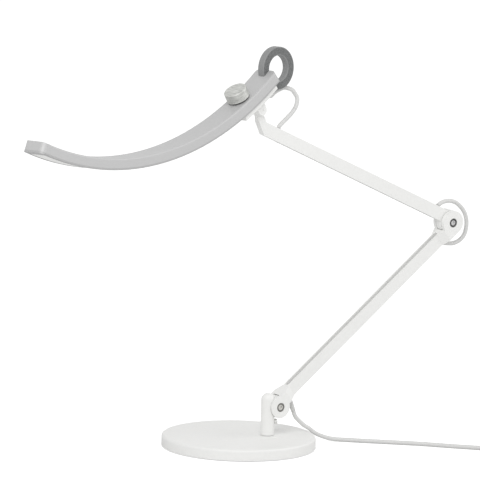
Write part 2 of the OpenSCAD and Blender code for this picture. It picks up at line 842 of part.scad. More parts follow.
// Both ends of the head, rounded as seen from above
module end_corners() {
    round_corners(-tip_arc, 1, head_w, head_corner_r, head_r - 1, bottom_r + 1);
    round_corners(end_arc, -1, head_w, head_corner_r, head_r - 1, bottom_r + 1);
}

// Middle of the ring, Y along its axis
module ring_place() {
    on_arc(ring_arc) translate([0, 0, -ring_r]) children();
}

module ring_notch() {
    ring_place() across(ring_od / 2 + gap / 2, ring_t + gap);
}

module dial_place() {
    on_arc(-knob_arc) translate([0, 0, -head_r]) children();
}

// Screws that hold the frame, at the ring end; Z points to the head's top
module frame_screw_places() {
    for (s = [-1, 1])
        on_arc(end_arc - degrees(9.7, bottom_r)) translate([0, s * (head_w / 2 - 7), -bottom_r]) children();
}

module head_housing() {
    color(silver) head_place() difference() {
        head_sweep(-tip_arc, end_arc) housing_profile();
        head_sweep(-cavity_tip, cavity_end) strip(roof_r, split_r + 1, head_w - 2 * head_wall);
        end_corners();
        ring_notch();
        dial_place() translate([0, 0, -2 * head_wall]) cylinder(d = stem_d + 0.8, h = 4 * head_wall);
        dial_place() translate([0, 0, -0.6]) cylinder(d = skirt_d + run_fit, h = head_wall);
        frame_screw_places() cylinder(d = 2.6, h = head_h - 2.5);
    }
}

module head_frame() {
    color(silver) head_place() difference() {
        head_sweep(-tip_arc, end_arc) frame_profile();
        head_sweep(-window_tip, -window_end) strip(split_r - 1, bottom_r + 1, window_w);
        end_corners();
        ring_notch();
        saddle_screw_places() translate([0, 0, -2 * frame_h]) cylinder(d = 3 + screw_fit, h = 3 * frame_h);
        cable_way() translate([0, 0, -bar_h]) cylinder(d = duct_d, h = 2 * bar_h, $fn = 32);
        frame_screw_places() translate([0, 0, -eps]) cylinder(r1 = 2.7, r2 = 1.4, h = 1.6 + eps);
        frame_screw_places() cylinder(d = 3, h = frame_h + 1);
    }
}

module frame_screws() {
    color(steel) head_place() frame_screw_places() difference() {
        union() {
            cylinder(r1 = 2.6, r2 = 1.3, h = 1.5);
            cylinder(d = 2.6, h = 10);
        }
        translate([0, 0, -1]) cylinder(d = 2, h = 1.8, $fn = 6);
    }
}

flange_t = 1.2;
// Clearance along the arc at the ends of the fitted pieces, in degrees
slack = degrees(gap, bottom_r);

module diffuser() {
    color([0.96, 0.96, 0.94]) head_place() {
        head_sweep(-window_tip + slack, -window_end - slack) strip(split_r - eps, bottom_r - 0.5, window_w - gap / 2);
        head_sweep(-cavity_tip + slack, slack - window_end) strip(split_r - flange_t, split_r, head_w - 2 * head_wall - gap);
    }
}

spreader_t = 1.5;
board_t = 1.2;
chip_t = 0.8;
// Head's width that the boards leave free
board_margin = 12.6;
board_w = head_w - board_margin;

module heat_spreader() {
    color(steel) head_place() head_sweep(-cavity_tip + 5 * slack, -window_end)
        strip(roof_r, roof_r + spreader_t, board_w + 2);
}

module led_board() {
    color([0.9, 0.9, 0.88]) head_place() head_sweep(-cavity_tip + 6 * slack, -window_end - slack)
        strip(roof_r + spreader_t, roof_r + spreader_t + board_t, board_w);
}

module led_chips() {
    margin = degrees(15, roof_r);
    first = margin - cavity_tip;
    step = (cavity_tip - window_end - 2 * margin) / (leds - 1);
    color([0.95, 0.85, 0.5]) head_place() for (i = [0 : leds - 1])
        on_arc(first + i * step) translate([-1.75, -1.4, -roof_r - spreader_t - board_t - chip_t]) cube([3.5, 2.8, chip_t]);
}

board_low = head_r + 7.5;

module control_board() {
    color([0.1, 0.35, 0.2]) head_place() head_sweep(-knob_arc - degrees(40, board_low), cavity_end - degrees(4, board_low))
        strip(board_low, board_low + board_t, board_w + 4);
}

module dial_encoder() {
    color(dark) head_place() on_arc(-knob_arc) difference() {
        translate([-6.5, -6.5, 0.1 - board_low]) cube([13, 13, board_low - roof_r - 0.5]);
        translate([0, 0, -roof_r - 3.6]) cylinder(d = stem_d + 0.6, h = 5);
    }
}

module dial_collar() {
    color(dark) head_place() dial_place() difference() {
        translate([0, 0, -0.6]) cylinder(d = skirt_d, h = 1);
        translate([0, 0, -1]) cylinder(d = stem_d + 0.8, h = 3);
    }
}

module dial_stem() {
    color(dark) head_place() dial_place() {
        translate([0, 0, -head_wall - 2]) cylinder(d = stem_d, h = head_wall + 2 + knob_gap + knob_h - 3);
        translate([0, 0, 0.4 + knob_travel + run_fit]) cylinder(d = skirt_d, h = knob_gap - 0.4 - knob_travel - run_fit);
    }
}

module dial_knob() {
    r = knob_d / 2;
    color(silver) head_place() dial_place() translate([0, 0, knob_gap]) difference() {
        rotate_extrude() {
            polygon([[0, 0.1], [r - 0.8, 0.1], [r, 0.9], [r, knob_h - 1.2], [r - 1.2, knob_h], [0, knob_h]]);
            translate([r - 1.2, knob_h - 1.2]) circle(1.2, $fn = 32);
        }
        translate([0, 0, -1]) cylinder(d = stem_d + run_fit, h = knob_h - 1.9);
    }
}

module ring_profile(r0, r1, t, e) {
    strip(r0 + e, r1 - e, t);
    strip(r0, r1, t - 2 * e);
    for (r = [r0 + e, r1 - e], s = [-1, 1]) translate([r, s * (t / 2 - e)]) circle(e, $fn = 32);
}

inlay_r0 = ring_id / 2 + 1.2;
inlay_r1 = ring_od / 2 - 1.2;

module inlay_band() {
    translate([0, 0, ring_t / 2 - inlay_h]) difference() {
        cylinder(r = inlay_r1, h = inlay_h);
        translate([0, 0, -1]) cylinder(r = inlay_r0, h = inlay_h + 2);
    }
}

module grab_ring() {
    color([0.6, 0.61, 0.61]) head_place() ring_place() rotate([90, 0, 0]) difference() {
        rotate_extrude($fn = 180) ring_profile(ring_id / 2, ring_od / 2, ring_t, 0.8);
        for (s = [0, 1]) mirror([0, 0, s]) translate([0, 0, ring_t / 2 - inlay_h]) difference() {
            cylinder(r = inlay_r1, h = ring_t);
            cylinder(r = inlay_r0, h = ring_t);
        }
    }
}

module ring_inlays() {
    color([0.48, 0.49, 0.49]) head_place() ring_place() rotate([90, 0, 0])
        for (s = [0, 1]) mirror([0, 0, s]) inlay_band();
}

module ring_keeper() {
    color(silver) head_place() intersection() {
        head_sweep(0, end_arc) strip(head_r, bottom_r, ring_t + gap);
        ring_place() across(ring_id / 2 - gap / 2, ring_t + gap);
    }
}

module head_inner_cable() {
    color(cord) head_place() cable_way() translate([0, 0, -4.2]) cylinder(d = cable_d, h = 4.2 + cable_out, $fn = 32);
}

// ---- head cable ----

cable_out = 9.2;

function turn_y(p, a) = [p[0] * cos(a) + p[2] * sin(a), p[1], p[2] * cos(a) - p[0] * sin(a)];
function turn_z(p, a) = [p[0] * cos(a) - p[1] * sin(a), p[0] * sin(a) + p[1] * cos(a), p[2]];
function from_head(p) = turn_y(p, -head_tilt);
function from_upper(p) =
    turn_z(turn_y(p - [upper_run, 0, -upper_off], -90 - neck_bend) - [0, 0, joint_up], -head_turn);

// Point at distance t along the cable where it leaves the saddle
function head_exit(t) = from_head([
    cable_in_x + (cable_out + t) * cos(cable_in_turn), 0,
    joint_drop - (cable_out + t) * sin(cable_in_turn)
]);
// Point at distance t along the cable where it leaves the upper arm
function arm_exit(t) = from_upper([neck_hole + t * cos(neck_turn), 0, -upper_face - t * sin(neck_turn)]);

// Distance between the faces of two cables that meet in different bodies
face_gap = 0.4;
loop_middle = [71, -2.5, -15];
loop_head = [[32, 1.5, 2.8], [40.7, 3, 2.6], [50.5, 5, 1], [61, 4, -0.8], [66.5, 2, -4.6], [70, -1, -9]];
loop_arm = [[71, -4, -21.4], [63.5, -6, -28.8], [52, -7, -33], [40, -6.6, -35.5], [29, -5, -38]];

module head_side_cable() {
    color(cord) knuckle_place() tube(spline(concat([head_exit(0), head_exit(2)], loop_head, [loop_middle]), 2), cable_d, 12, [0, 1, 0]);
}

module arm_side_cable() {
    color(cord) knuckle_place() tube(spline(concat([loop_middle], loop_arm, [arm_exit(3), arm_exit(face_gap)]), 2), cable_d, 12, [0, 1, 0]);
}

// ---- lead ----

function from_lower(p) = turn_y(p, -lower_angle) + [pivot_x, post_y, pivot_z];
function relief_end(t) = from_lower([
    exit_u - (relief_l + t) * cos(exit_turn), 0, lower_off - bar_h / 2 - (relief_l + t) * sin(exit_turn)
]);

floor_z = cable_d / 2 + 0.1;
lead_path = [
    [base_r - 18.6, post_y - 1, base_h + 14.6], [base_r - 11.6, post_y - 2, base_h + 8.4],
    [base_r - 4.6, post_y - 3, base_h + 4.3], [base_r + 4.4, post_y - 5, base_h - 2.8],
    [base_r + 13.4, post_y - 7, 8.6], [base_r + 24.4, post_y - 10, 4.7],
    [base_r + 35.4, post_y - 16, floor_z],
    [base_r + 57.4, post_y - 38, floor_z], [base_r + 87.4, post_y - 66, floor_z],
    [base_r + 119.4, post_y - 97, floor_z], [base_r + 145.4, post_y - 127, floor_z],
    [base_r + 173.4, post_y - 158, floor_z], [base_r + 193.4, post_y - 184, floor_z]
];
coil_x = base_r + 223.4;
coil_y = post_y - 166;
coil_r = coil_d / 2;

module lead() {
    color(cord) tube(spline(concat([relief_end(face_gap), relief_end(4), relief_end(9)], lead_path), 2), cable_d, 10, [0.6, 0.8, 0.02]);
}

module coil_profile(grow) {
    ring_profile(coil_r - coil_t / 2 - grow, coil_r + coil_t / 2 + grow, coil_t + 2 * grow, 4 + grow);
}

module coil_place() {
    translate([coil_x, coil_y, tie_t + coil_t / 2]) children();
}

module lead_coil() {
    color(cord) coil_place() rotate_extrude() coil_profile(0);
}

module coil_tie() {
    color(dark) coil_place() rotate([0, 0, 60]) rotate_extrude(angle = 14) difference() {
        coil_profile(tie_t);
        coil_profile(0);
    }
}

plug_x = coil_x + coil_r + 30;
plug_y = coil_y + 64;
tail_path = [
    [plug_x - 25, coil_y, floor_z], [plug_x - 24.5, coil_y + 12, floor_z], [plug_x - 20, coil_y + 25, 3.4],
    [plug_x - 11.5, coil_y + 37, 6.4], [plug_x - 4, coil_y + 47, 10],
    [plug_x - 0.4, coil_y + 57, plug_h / 2 - 0.4], [plug_x, plug_y, plug_h / 2]
];

module lead_tail() {
    color(cord) tube(spline(tail_path, 2), cable_d, 10, [1, 0, 0.02]);
}

module plug_place() {
    translate([plug_x, plug_y, plug_h / 2]) rotate([-90, 0, 0]) children();
}

module plug_body() {
    r = 5;
    color(white) plug_place() difference() {
        union() {
            cylinder(d1 = cable_d + 1.5, d2 = cable_d + 5, h = 10);
            translate([0, 0, 10 - eps]) linear_extrude(plug_l) {
                square([plug_w - 2 * r, plug_h], center = true);
                square([plug_w, plug_h - 2 * r], center = true);
                for (x = [-1, 1], y = [-1, 1]) translate([x * (plug_w / 2 - r), y * (plug_h / 2 - r)]) circle(r);
            }
        }
        for (s = [-1, 1]) translate([s * 9.5, 0, 4 + plug_l]) cylinder(d = plug_pin_d, h = plug_l);
    }
}

module plug_pins() {
    color([0.8, 0.7, 0.4]) plug_place() for (s = [-1, 1])
        translate([s * 9.5, 0, 4 + plug_l]) cylinder(d = plug_pin_d, h = plug_pin_l + 6);
}

base_cover();
base_weight();
base_plate();
foot_pad();
base_screws();
post_collar();
post();
post_bolt();
post_washer();
stop_screw();
pivot_screw();
pivot_nut();
pivot_washers();
lower_arm();
lower_cable();
lead_relief();
elbow_screw();
elbow_nut();
elbow_washers();
elbow_cable();
upper_arm();
upper_cable();
swivel_sleeve();
neck_grub_screw();
tilt_knuckle();
tilt_pin();
tilt_washers();
arm_side_cable();
head_side_cable();
head_saddle();
saddle_screws();
head_housing();
head_frame();
diffuser();
led_board();
led_chips();
heat_spreader();
control_board();
dial_encoder();
dial_collar();
dial_stem();
dial_knob();
grab_ring();
ring_inlays();
ring_keeper();
frame_screws();
head_inner_cable();
lead();
lead_coil();
coil_tie();
lead_tail();
plug_body();
plug_pins();
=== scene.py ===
import math

import bmesh
import bpy
import numpy as np
from mathutils import Matrix, Vector


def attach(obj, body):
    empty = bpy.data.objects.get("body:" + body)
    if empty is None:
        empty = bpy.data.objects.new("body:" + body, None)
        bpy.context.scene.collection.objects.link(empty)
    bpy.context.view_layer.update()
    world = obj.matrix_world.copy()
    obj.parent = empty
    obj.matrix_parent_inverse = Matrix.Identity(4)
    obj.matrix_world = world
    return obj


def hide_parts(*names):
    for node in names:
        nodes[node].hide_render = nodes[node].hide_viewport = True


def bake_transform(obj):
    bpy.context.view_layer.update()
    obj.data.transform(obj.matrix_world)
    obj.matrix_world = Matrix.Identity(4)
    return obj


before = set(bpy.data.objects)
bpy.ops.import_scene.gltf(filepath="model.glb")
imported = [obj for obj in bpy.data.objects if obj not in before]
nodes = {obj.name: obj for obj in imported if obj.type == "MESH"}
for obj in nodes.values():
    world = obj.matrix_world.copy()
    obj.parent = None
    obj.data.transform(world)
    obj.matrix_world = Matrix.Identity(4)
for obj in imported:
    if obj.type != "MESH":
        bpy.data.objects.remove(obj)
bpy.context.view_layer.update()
MM = 0.001


def vec(x, y, z):
    return np.array([x, y, z], float)


def to_m(p):
    return tuple(float(c) * MM for c in p)


def metres(path):
    return [to_m(p) for p in path]


# ---------------------------------------------------------------- frame of the lamp, in mm
def turn_y(a):
    a = math.radians(a)
    return np.array([[math.cos(a), 0, math.sin(a)], [0, 1, 0], [-math.sin(a), 0, math.cos(a)]])


def turn_z(a):
    a = math.radians(a)
    return np.array([[math.cos(a), -math.sin(a), 0], [math.sin(a), math.cos(a), 0], [0, 0, 1]])


def place(origin, turn, p):
    return origin + turn @ np.array(p, float)


BASE_R, BASE_H = 105.0, 16.0
LOWER_LEAN, LOWER_RUN, ELBOW_RISE = 37.3, 364.6, 11.25
FOLD, UPPER_RUN, UPPER_OFF = 63.05, 353.9, 4.2
NECK_BEND, NECK_REACH = 40.85, 29.2
HEAD_TURN, HEAD_TILT = 10, 8.3
HEAD_R, ARC_UP = 428, 459.5  # radius of the head's top, and height of its centre over the joint

PIVOT = vec(46.4, -20.0, 55.4)
LOW = turn_y(-LOWER_LEAN)
ELBOW = place(PIVOT, LOW, [LOWER_RUN, 0, ELBOW_RISE])
UPP = LOW @ turn_y(FOLD - 180)
BEND = place(ELBOW, UPP, [UPPER_RUN, 0, -UPPER_OFF])
NECK = UPP @ turn_y(90 + NECK_BEND)
JOINT = place(BEND, NECK, [0, 0, NECK_REACH])
KNU = NECK @ turn_z(HEAD_TURN)
HEAD = KNU @ turn_y(-HEAD_TILT)


def on_arc(a, r):
    """Point at angle a and radius r of the head's arc, and the axes there."""
    t = HEAD @ turn_y(-a)
    return JOINT + HEAD @ np.array([0, 0, ARC_UP]) + t @ np.array([0, 0, -r]), t


# ---------------------------------------------------------------- camera
FRAME_PX = 480
MM_PER_PX = 1.36
BASE_PX = (238.73, 435.0)  # where the base's middle, BASE_MID mm up, stands in the photograph
BASE_MID = 16
CAMERA_OFF = 28000.0
CAMERA_DOWN, CAMERA_ROLL, CAMERA_ROUND = 10.88, 1.53, 36
SENSOR = 36
CLIP_END = 200


def make_camera():
    """A long lens from far off, a little above the table and round to the lamp's left."""
    down, roll, round_z = (math.radians(a) for a in (CAMERA_DOWN, CAMERA_ROLL, CAMERA_ROUND))
    right = vec(math.cos(round_z), -math.sin(round_z), 0)
    forward = vec(math.sin(round_z) * math.cos(down), math.cos(round_z) * math.cos(down), -math.sin(down))
    up = np.cross(right, forward)
    across = right * math.cos(roll) + up * math.sin(roll)
    upward = up * math.cos(roll) - right * math.sin(roll)
    off_x, off_y = FRAME_PX / 2 - BASE_PX[0], FRAME_PX / 2 - BASE_PX[1]
    target = vec(0, 0, BASE_MID) + across * off_x * MM_PER_PX - upward * off_y * MM_PER_PX
    data = bpy.data.cameras.new("camera")
    data.sensor_width = SENSOR
    data.lens = SENSOR * CAMERA_OFF / (FRAME_PX * MM_PER_PX)
    data.clip_end = CLIP_END
    cam = bpy.data.objects.new("camera", data)
    bpy.context.collection.objects.link(cam)
    pos = (target - forward * CAMERA_OFF) * MM
    m = Matrix.Identity(4)
    for r in range(3):
        m[r][0], m[r][1], m[r][2], m[r][3] = across[r], upward[r], -forward[r], pos[r]
    cam.matrix_world = m
    bpy.context.scene.camera = cam


make_camera()
bpy.context.scene.view_settings.view_transform = "Standard"


# ---------------------------------------------------------------- mesh helpers
def link(name, verts, faces):
    """A smooth mesh object in metres from points in mm."""
    me = bpy.data.meshes.new(name)
    me.from_pydata(metres(verts), [], [tuple(f) for f in faces])
    me.validate()
    bm = bmesh.new()
    bm.from_mesh(me)
    bmesh.ops.recalc_face_normals(bm, faces=bm.faces)
    bm.to_mesh(me)
    bm.free()
    for p in me.polygons:
        p.use_smooth = True
    ob = bpy.data.objects.new(name, me)
    bpy.context.collection.objects.link(ob)
    return ob


def spline(pts, step):
    """Centripetal Catmull-Rom through pts, resampled at an even step."""
    p = np.array(pts, float)
    p = np.vstack([2 * p[0] - p[1], p, 2 * p[-1] - p[-2]])
    out = []
    for i in range(1, len(p) - 2):
        a, b, c, d = p[i - 1 : i + 3]
        t0 = 0.0
        t1 = t0 + max(np.linalg.norm(b - a), 1e-6) ** 0.5
        t2 = t1 + max(np.linalg.norm(c - b), 1e-6) ** 0.5
        t3 = t2 + max(np.linalg.norm(d - c), 1e-6) ** 0.5
        n = max(4, int(np.linalg.norm(c - b)))
        for t in np.linspace(t1, t2, n, endpoint=False):
            a1 = (t1 - t) / (t1 - t0) * a + (t - t0) / (t1 - t0) * b
            a2 = (t2 - t) / (t2 - t1) * b + (t - t1) / (t2 - t1) * c
            a3 = (t3 - t) / (t3 - t2) * c + (t - t2) / (t3 - t2) * d
            b1 = (t2 - t) / (t2 - t0) * a1 + (t - t0) / (t2 - t0) * a2
            b2 = (t3 - t) / (t3 - t1) * a2 + (t - t1) / (t3 - t1) * a3
            out.append((t2 - t) / (t2 - t1) * b1 + (t - t1) / (t2 - t1) * b2)
    out.append(p[-2])
    out = np.array(out)
    s = np.r_[0, np.cumsum(np.linalg.norm(np.diff(out, axis=0), axis=1))]
    n = max(2, int(round(s[-1] / step)))
    u = np.linspace(0, s[-1], n + 1)
    return np.stack([np.interp(u, s, out[:, k]) for k in range(3)], axis=1)


FIRST_NORMAL = [0, 1, 0.013]


def tube(name, path, radius, sides):
    """Round tube along path, its rings carried on without twist; radius is a number or one per point."""
    path = np.array(path, float)
    rad = np.broadcast_to(radius, (len(path),))
    tan = np.gradient(path, axis=0)
    tan /= np.linalg.norm(tan, axis=1)[:, None]
    n = np.array(FIRST_NORMAL, float)
    verts, faces = [], []
    for i, (p, t, r) in enumerate(zip(path, tan, rad)):
        n = n - t * n.dot(t)
        n /= np.linalg.norm(n)
        b = np.cross(t, n)
        for k in range(sides):
            a = 2 * math.pi * k / sides
            verts.append(p + r * (math.cos(a) * n + math.sin(a) * b))
        if i:
            o = (i - 1) * sides
            for k in range(sides):
                q = (k + 1) % sides
                faces.append((o + k, o + q, o + sides + q, o + sides + k))
    last = (len(path) - 1) * sides
    faces.append(tuple(range(sides - 1, -1, -1)))
    faces.append(tuple(last + k for k in range(sides)))
    ob = link(name, verts, faces)
    for p in ob.data.polygons[-2:]:
        p.use_smooth = False
    return ob


# ---------------------------------------------------------------- cords
CABLE = 5.8
FLOOR = 3.0
BAR_HALF = 8.75
LOWER_OFF = 3.5

# the strain relief: its root on the lower arm, its slant and the distance of its tip from there
RELIEF_X, RELIEF_TURN, RELIEF_TIP = 23.3, 75, 20


def relief_at(t):
    """Point t past the tip of the strain relief, on its axis."""
    c, s = math.cos(math.radians(RELIEF_TURN)), math.sin(math.radians(RELIEF_TURN))
    along = RELIEF_TIP + t
    return place(PIVOT, LOW, [RELIEF_X - along * c, 0, LOWER_OFF - BAR_HALF - along * s])


COIL = vec(328.4, -186.0, 0)
COIL_R, COIL_LOW, COIL_PITCH = 35.9, 3.8, 5.85
COIL_START, COIL_STEP = 211.0, 12.0
CHANGE_AT, CHANGE_OVER = 218.0, 125.0  # where a turn starts to move to its next place, and for how many degrees
COIL_PLACES = [(0, 0), (1, 0), (2, 0), (2, 1), (2, 2), (1, 2), (0, 2), (0, 1), (0, 0)]


def coil_route():
    """Turns of the coil, counter-clockwise; each turn has a place: how far in and how far up it lies."""
    pts = []
    a = COIL_START
    while a < 360.0 * (len(COIL_PLACES) - 1) - 1e-6:
        turn = (a - CHANGE_AT) / 360.0
        i = int(math.floor(turn))
        f = min(max((turn - i) / (CHANGE_OVER / 360.0), 0), 1)
        f = f * f * (3 - 2 * f)
        first = max(min(i, len(COIL_PLACES) - 2), 0)
        r0, z0 = COIL_PLACES[first]
        r1, z1 = COIL_PLACES[first + 1] if i >= 0 else COIL_PLACES[0]
        r = COIL_R - COIL_PITCH * (r0 + (r1 - r0) * f)
        z = COIL_LOW + COIL_PITCH * (z0 + (z1 - z0) * f)
        pts.append(COIL + vec(r * math.cos(math.radians(a)), r * math.sin(math.radians(a)), z))
        a += COIL_STEP
    return pts


def lead_route():
    """Out of the strain relief, over the base's rim, along the floor to the coil, round it and up to the plug."""
    y = PIVOT[1]
    free = [
        relief_at(0.4), relief_at(4), relief_at(9),
        vec(BASE_R - 18.6, y - 1, BASE_H + 14.6), vec(BASE_R - 11.6, y - 2, BASE_H + 8.4),
        vec(BASE_R - 4.6, y - 3, BASE_H + 4.3), vec(BASE_R + 4.4, y - 5, BASE_H - 2.8),
        vec(BASE_R + 13.4, y - 7, 8.6), vec(BASE_R + 24.4, y - 10, 4.7), vec(BASE_R + 35.4, y - 16, FLOOR),
        vec(BASE_R + 45.4, y - 26, FLOOR), vec(BASE_R + 57.4, y - 38, FLOOR), vec(BASE_R + 87.4, y - 66, FLOOR),
        vec(BASE_R + 119.4, y - 97, FLOOR), vec(BASE_R + 145.4, y - 127, FLOOR),
        vec(BASE_R + 173.4, y - 158, FLOOR), vec(BASE_R + 184.4, y - 172, FLOOR),
    ]
    tail = [
        vec(35.9, 6, 3.5), vec(36.2, 12, FLOOR), vec(40, 25, 3.6), vec(48.5, 37, 6.4),
        vec(56, 47, 10), vec(59.6, 57, 12.6), vec(60, 64, 13),
    ]
    return free + coil_route() + [COIL + p for p in tail]


lead_path = spline(lead_route(), step=3.0)
lead = tube("mains_lead", lead_path, CABLE / 2, sides=16)

RIBS = 6
RIB_FIRST, RIB_STEP = -16.4, 2.5
GROOVE = [(-0.75, 0), (-0.6, 0), (-0.4, 0.5), (0.4, 0.5), (0.6, 0), (0.75, 0)]  # places along it, and depths


def relief_profile():
    """Distance past the relief's tip, and radius there: a taper with ring grooves."""
    prof = [(-23.0, 3.3), (-22.6, 3.6), (-18.4, 3.6)]
    for k in range(RIBS):
        t = RIB_FIRST + RIB_STEP * k
        r = 3.6 - 0.5 * (t + 18) / 18
        prof += [(t + along, r - deep) for along, deep in GROOVE]
    return prof + [(-0.7, 3.12), (-0.25, 3.05), (0.0, 2.92)]


relief = tube("relief", [relief_at(t) for t, r in relief_profile()], [r for t, r in relief_profile()], sides=28)

# the elbow's loop: degrees round the elbow and distance from it, in the lower arm's frame
ELBOW_LOOP = [
    (-148.0, 30.7), (-129, 30.2), (-112, 32.0), (-94, 33.8), (-76, 34.4), (-62, 33.0), (-41, 30.9),
    (-17, 28.8), (8, 27.6), (29, 28.0), (50, 28.8), (73, 30.0), (91.5, 30.7),
]
loop_pts = [
    place(ELBOW, LOW, [r * math.cos(math.radians(a)), 0, r * math.sin(math.radians(a))]) for a, r in ELBOW_LOOP
]
elbow_path = spline(loop_pts, step=2.0)
elbow_loop = tube("elbow_loop", elbow_path, CABLE / 2, sides=20)


def knuckle(p):
    return place(JOINT, KNU, p)


# where the head's loop leaves the saddle, and where it goes into the upper arm
SADDLE_X, SADDLE_TURN, SADDLE_FACE, JOINT_DROP = 19, 60, 9.2, 15.6
ARM_BACK, DUCT_R = 24.3, 10


def head_exit(t):
    c, s = math.cos(math.radians(SADDLE_TURN)), math.sin(math.radians(SADDLE_TURN))
    along = SADDLE_FACE + t
    return place(JOINT, HEAD, [SADDLE_X + along * c, 0, JOINT_DROP - along * s])


def arm_exit(t):
    a = math.acos(1 - BAR_HALF / DUCT_R)
    return place(ELBOW, UPP, [UPPER_RUN - ARM_BACK + t * math.cos(a), 0, -UPPER_OFF - BAR_HALF - t * math.sin(a)])


# the head's loop, and the place on it where the head's tilt ends and its swivel begins
HEAD_LOOP = [
    [32, 1.5, 2.8], [40.7, 3, 2.6], [50.5, 5, 1], [61, 4, -0.8], [66.5, 2, -4.6], [70, -1, -9], [71, -2.5, -15],
    [71, -4, -21.4], [63.5, -6, -28.8], [52, -7, -33], [40, -6.6, -35.5], [29, -5, -38],
]
LOOP_CUT = [57, -6.7, -31.6]
head_route = [head_exit(0), head_exit(2)] + [knuckle(p) for p in HEAD_LOOP] + [arm_exit(3), arm_exit(0.4)]
whole = spline(head_route, step=1.5)
cut = int(np.argmin(np.linalg.norm(whole - knuckle(LOOP_CUT), axis=1)))
head_loop_a = tube("head_loop_upper", whole[: cut + 1], CABLE / 2, sides=20)
head_loop_b = tube("head_loop_lower", whole[cut:], CABLE / 2, sides=20)


# ---------------------------------------------------------------- materials
class Graph:
    """Short hand for a material's node tree."""

    def __init__(self, name):
        self.m = bpy.data.materials.new(name)
        self.m.use_nodes = True
        self.nt = self.m.node_tree
        self.nt.nodes.clear()
        self.out = self.add("ShaderNodeOutputMaterial")
        self.bs = self.add("ShaderNodeBsdfPrincipled")
        self.join(self.bs.outputs[0], self.out.inputs[0])
        self.obj = self.add("ShaderNodeTexCoord").outputs["Object"]

    def add(self, kind):
        return self.nt.nodes.new(kind)

    def join(self, a, b):
        self.nt.links.new(a, b)

    def math(self, op, a, b=None):
        n = self.add("ShaderNodeMath")
        n.operation = op
        for i, v in enumerate((a, b)):
            if v is None:
                continue
            if isinstance(v, (int, float)):
                n.inputs[i].default_value = v
            else:
                self.join(v, n.inputs[i])
        return n.outputs[0]

    def local(self, origin, turn):
        """Coordinates along the columns of turn from origin, as three sockets in metres."""
        sub = self.add("ShaderNodeVectorMath")
        sub.operation = "SUBTRACT"
        self.join(self.obj, sub.inputs[0])
        sub.inputs[1].default_value = to_m(origin)
        res = []
        for k in range(3):
            d = self.add("ShaderNodeVectorMath")
            d.operation = "DOT_PRODUCT"
            self.join(sub.outputs[0], d.inputs[0])
            d.inputs[1].default_value = tuple(float(c) for c in np.array(turn)[:, k])
            res.append(d.outputs["Value"])
        return res

    def radius(self, x, y):
        return self.math("SQRT", self.math("ADD", self.math("MULTIPLY", x, x), self.math("MULTIPLY", y, y)))

    def vector(self, x, y, z):
        c = self.add("ShaderNodeCombineXYZ")
        for i, v in enumerate((x, y, z)):
            self.join(v, c.inputs[i])
        return c.outputs[0]

    def noise(self, scale, vector=None, detail=4.0, rough=0.6):
        n = self.add("ShaderNodeTexNoise")
        n.inputs["Scale"].default_value = scale
        n.inputs["Detail"].default_value = detail
        n.inputs["Roughness"].default_value = rough
        self.join(vector if vector is not None else self.obj, n.inputs["Vector"])
        return n.outputs["Fac"]

    def ramp(self, fac, stops):
        r = self.add("ShaderNodeValToRGB")
        e = r.color_ramp.elements
        while len(e) < len(stops):
            e.new(0.5)
        for k, (pos, col) in enumerate(stops):
            e[k].position = pos
            e[k].color = tuple(min(1.0, max(0.0, c)) for c in col) + (1,)
        self.join(fac, r.inputs[0])
        return r.outputs[0]

    def span(self, fac, lo, hi, a=0.0, b=1.0):
        r = self.add("ShaderNodeMapRange")
        r.inputs["From Min"].default_value = lo
        r.inputs["From Max"].default_value = hi
        r.inputs["To Min"].default_value = a
        r.inputs["To Max"].default_value = b
        self.join(fac, r.inputs["Value"])
        return r.outputs[0]

    def mix(self, fac, a, b, blend="MIX"):
        m = self.add("ShaderNodeMix")
        m.data_type = "RGBA"
        m.blend_type = blend
        if isinstance(fac, (int, float)):
            m.inputs[0].default_value = fac
        else:
            self.join(fac, m.inputs[0])
        for sock, v in ((m.inputs[6], a), (m.inputs[7], b)):
            if isinstance(v, tuple):
                sock.default_value = v + (1,)
            else:
                self.join(v, sock)
        return m.outputs[2]

    def bump(self, height, strength, distance=0.2):
        """Bump of the given strength; distance in mm."""
        b = self.add("ShaderNodeBump")
        b.inputs["Strength"].default_value = strength
        b.inputs["Distance"].default_value = distance * MM
        self.join(height, b.inputs["Height"])
        self.join(b.outputs[0], self.bs.inputs["Normal"])


LOW_FAC, HIGH_FAC = 0.3, 0.7  # nearly all of a noise's values lie between these


def grey(v):
    return (v, v, v)


def mat(name, color, rough=0.45, metal=0.0, grain=260.0, bump=0.0, bump_scale=400.0, spread=0.03,
        cloud=0.01, coat=0.0):
    """Painted, moulded or metal surface: fine grain, a slow drift of tone, uneven gloss and a bump."""
    g = Graph(name)
    g.bs.inputs["Metallic"].default_value = metal
    if coat:
        g.bs.inputs["Coat Weight"].default_value = coat
        g.bs.inputs["Coat Roughness"].default_value = 0.2
    dark = tuple(c * (1 - spread) for c in color)
    light = tuple(c * (1 + spread) for c in color)
    fine = g.ramp(g.noise(grain), [(LOW_FAC, dark), (HIGH_FAC, light)])
    slow = g.ramp(g.noise(14.0, detail=2.0), [(LOW_FAC, grey(1 - 2 * cloud)), (HIGH_FAC, grey(1.0))])
    g.join(g.mix(1.0, fine, slow, "MULTIPLY"), g.bs.inputs["Base Color"])
    gloss = g.span(g.noise(grain * 0.4), LOW_FAC, HIGH_FAC, rough - 0.06, rough + 0.06)
    g.join(gloss, g.bs.inputs["Roughness"])
    if bump:
        g.bump(g.noise(bump_scale, detail=3.0), bump)
    return g.m


LATHE_RINGS = 21000.0
RAMP_LONG = 10  # mm that a screw's ramp covers


